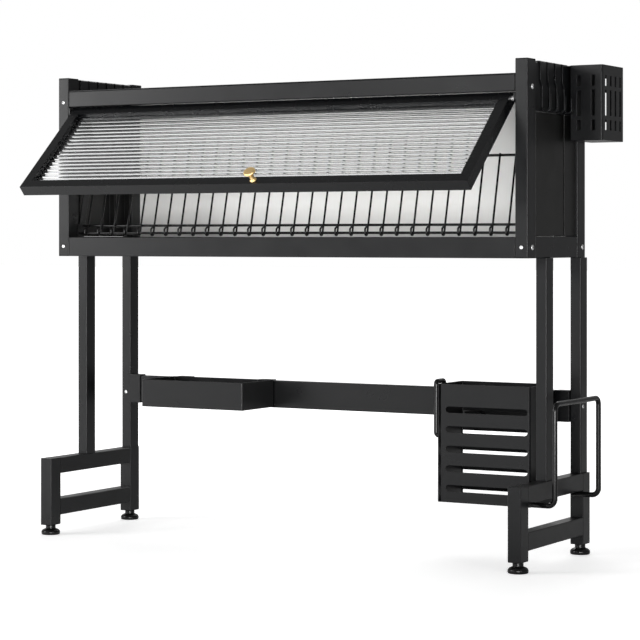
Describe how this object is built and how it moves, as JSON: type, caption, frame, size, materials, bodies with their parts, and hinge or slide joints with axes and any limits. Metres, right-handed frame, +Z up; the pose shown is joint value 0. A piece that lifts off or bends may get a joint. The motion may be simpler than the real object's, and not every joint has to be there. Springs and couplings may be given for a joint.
{
  "type": "over-sink dish rack",
  "caption": "Black over-sink dish rack: wire plate rack in a cabinet with a flip-up reeded door, on legs and stepped frames, with rail, tray, basket and hooks.",
  "frame": {"origin": "bottom centre of the whole object's box, on the worktop, with the door as stored (half raised)", "axes": "+Z up, the door and the user towards -Y, the towel loop's side +X"},
  "size_m": [1.0274, 0.4252, 0.838],
  "materials": {
    "black_powder_coat": "satin black powder coat",
    "black_plastic": "matt black",
    "foot_gloss_black": "gloss black",
    "door_frame_black": "black anodised, satin",
    "reeded_clear": "clear, reeded on the outer face",
    "brass_knob": "polished",
    "bright_steel": "bright zinc",
    "white_back": "warm white, semi-gloss"
  },
  "bodies": {
    "rack": {"front_post_left": "black_powder_coat", "front_post_right": "black_powder_coat", "rear_post_left": "black_powder_coat", "rear_post_right": "black_powder_coat", "post_caps": "black_plastic", "side_top_rail_left": "black_powder_coat", "side_top_rail_right": "black_powder_coat", "side_bottom_rail_left": "black_powder_coat", "side_bottom_rail_right": "black_powder_coat", "side_rail_plugs": "black_plastic", "top_beam_front": "black_powder_coat", "top_beam_rear": "black_powder_coat", "bottom_beam_front": "black_powder_coat", "bottom_beam_rear": "black_powder_coat", "beam_plugs": "black_plastic", "roof_panel": "black_powder_coat", "back_panel": "white_back", "side_panel_left": "black_powder_coat", "side_panel_right": "black_powder_coat", "front_leg_left": "black_powder_coat", "front_leg_right": "black_powder_coat", "rear_leg_left": "black_powder_coat", "rear_leg_right": "black_powder_coat", "step_frame_left": "black_powder_coat", "step_frame_right": "black_powder_coat", "foot_inserts": "black_plastic", "hinge_plates": "black_powder_coat", "rack_rods": "black_powder_coat", "rack_wires": "black_powder_coat", "rack_end_plates": "black_powder_coat", "rear_rail": "black_powder_coat", "rail_brackets": "black_powder_coat", "towel_loop": "black_powder_coat", "frame_screws": "bright_steel"},
    "door": {"door_stile_left": "door_frame_black", "door_stile_right": "door_frame_black", "door_top_rail": "door_frame_black", "door_bottom_rail": "door_frame_black", "reeded_panel": "reeded_clear", "knob": "brass_knob", "knob_screw": "bright_steel", "hinge_pins": "bright_steel"},
    "soap_tray": {"soap_tray": "black_powder_coat"},
    "basket": {"basket": "black_powder_coat", "basket_loop": "black_powder_coat"},
    "utensil_holder": {"utensil_holder": "black_powder_coat"},
    "foot_front_left": {"foot_front_left": "foot_gloss_black"},
    "foot_front_right": {"foot_front_right": "foot_gloss_black"},
    "foot_rear_left": {"foot_rear_left": "foot_gloss_black"},
    "foot_rear_right": {"foot_rear_right": "foot_gloss_black"},
    "hook_right_1": {"hook_right_1": "black_powder_coat"},
    "hook_right_2": {"hook_right_2": "black_powder_coat"},
    "hook_right_3": {"hook_right_3": "black_powder_coat"},
    "hook_right_4": {"hook_right_4": "black_powder_coat"},
    "hook_left_1": {"hook_left_1": "black_powder_coat"},
    "hook_left_2": {"hook_left_2": "black_powder_coat"},
    "hook_left_3": {"hook_left_3": "black_powder_coat"},
    "hook_left_4": {"hook_left_4": "black_powder_coat"},
    "hook_left_5": {"hook_left_5": "black_powder_coat"},
    "hook_left_6": {"hook_left_6": "black_powder_coat"}
  },
  "joints": [
    {"name": "door_hinge", "type": "hinge", "parent": "rack", "child": "door", "pos_m": [-0.02535, -0.03143, 0.773], "axis": [-1, 0, 0], "range_deg": [-47.8, 42.2]},
    {"name": "foot_front_left_screw", "type": "slide", "parent": "rack", "child": "foot_front_left", "axis": [0, 0, -1], "range_m": [0, 0.012]},
    {"name": "foot_front_right_screw", "type": "slide", "parent": "rack", "child": "foot_front_right", "axis": [0, 0, -1], "range_m": [0, 0.012]},
    {"name": "foot_rear_left_screw", "type": "slide", "parent": "rack", "child": "foot_rear_left", "axis": [0, 0, -1], "range_m": [0, 0.012]},
    {"name": "foot_rear_right_screw", "type": "slide", "parent": "rack", "child": "foot_rear_right", "axis": [0, 0, -1], "range_m": [0, 0.012]},
    {"name": "soap_tray_lift", "type": "slide", "parent": "rack", "child": "soap_tray", "axis": [0, 0, 1], "range_m": [0, 0.04]},
    {"name": "basket_lift", "type": "slide", "parent": "rack", "child": "basket", "axis": [0, 0, 1], "range_m": [0, 0.04]},
    {"name": "utensil_holder_lift", "type": "slide", "parent": "rack", "child": "utensil_holder", "axis": [0, 0, 1], "range_m": [0, 0.04]},
    {"name": "hook_right_1_lift", "type": "slide", "parent": "rack", "child": "hook_right_1", "axis": [0, 0, 1], "range_m": [0, 0.03]},
    {"name": "hook_right_2_lift", "type": "slide", "parent": "rack", "child": "hook_right_2", "axis": [0, 0, 1], "range_m": [0, 0.03]},
    {"name": "hook_right_3_lift", "type": "slide", "parent": "rack", "child": "hook_right_3", "axis": [0, 0, 1], "range_m": [0, 0.03]},
    {"name": "hook_right_4_lift", "type": "slide", "parent": "rack", "child": "hook_right_4", "axis": [0, 0, 1], "range_m": [0, 0.03]},
    {"name": "hook_left_1_lift", "type": "slide", "parent": "rack", "child": "hook_left_1", "axis": [0, 0, 1], "range_m": [0, 0.03]},
    {"name": "hook_left_2_lift", "type": "slide", "parent": "rack", "child": "hook_left_2", "axis": [0, 0, 1], "range_m": [0, 0.03]},
    {"name": "hook_left_3_lift", "type": "slide", "parent": "rack", "child": "hook_left_3", "axis": [0, 0, 1], "range_m": [0, 0.03]},
    {"name": "hook_left_4_lift", "type": "slide", "parent": "rack", "child": "hook_left_4", "axis": [0, 0, 1], "range_m": [0, 0.03]},
    {"name": "hook_left_5_lift", "type": "slide", "parent": "rack", "child": "hook_left_5", "axis": [0, 0, 1], "range_m": [0, 0.03]},
    {"name": "hook_left_6_lift", "type": "slide", "parent": "rack", "child": "hook_left_6", "axis": [0, 0, 1], "range_m": [0, 0.03]}
  ]
}
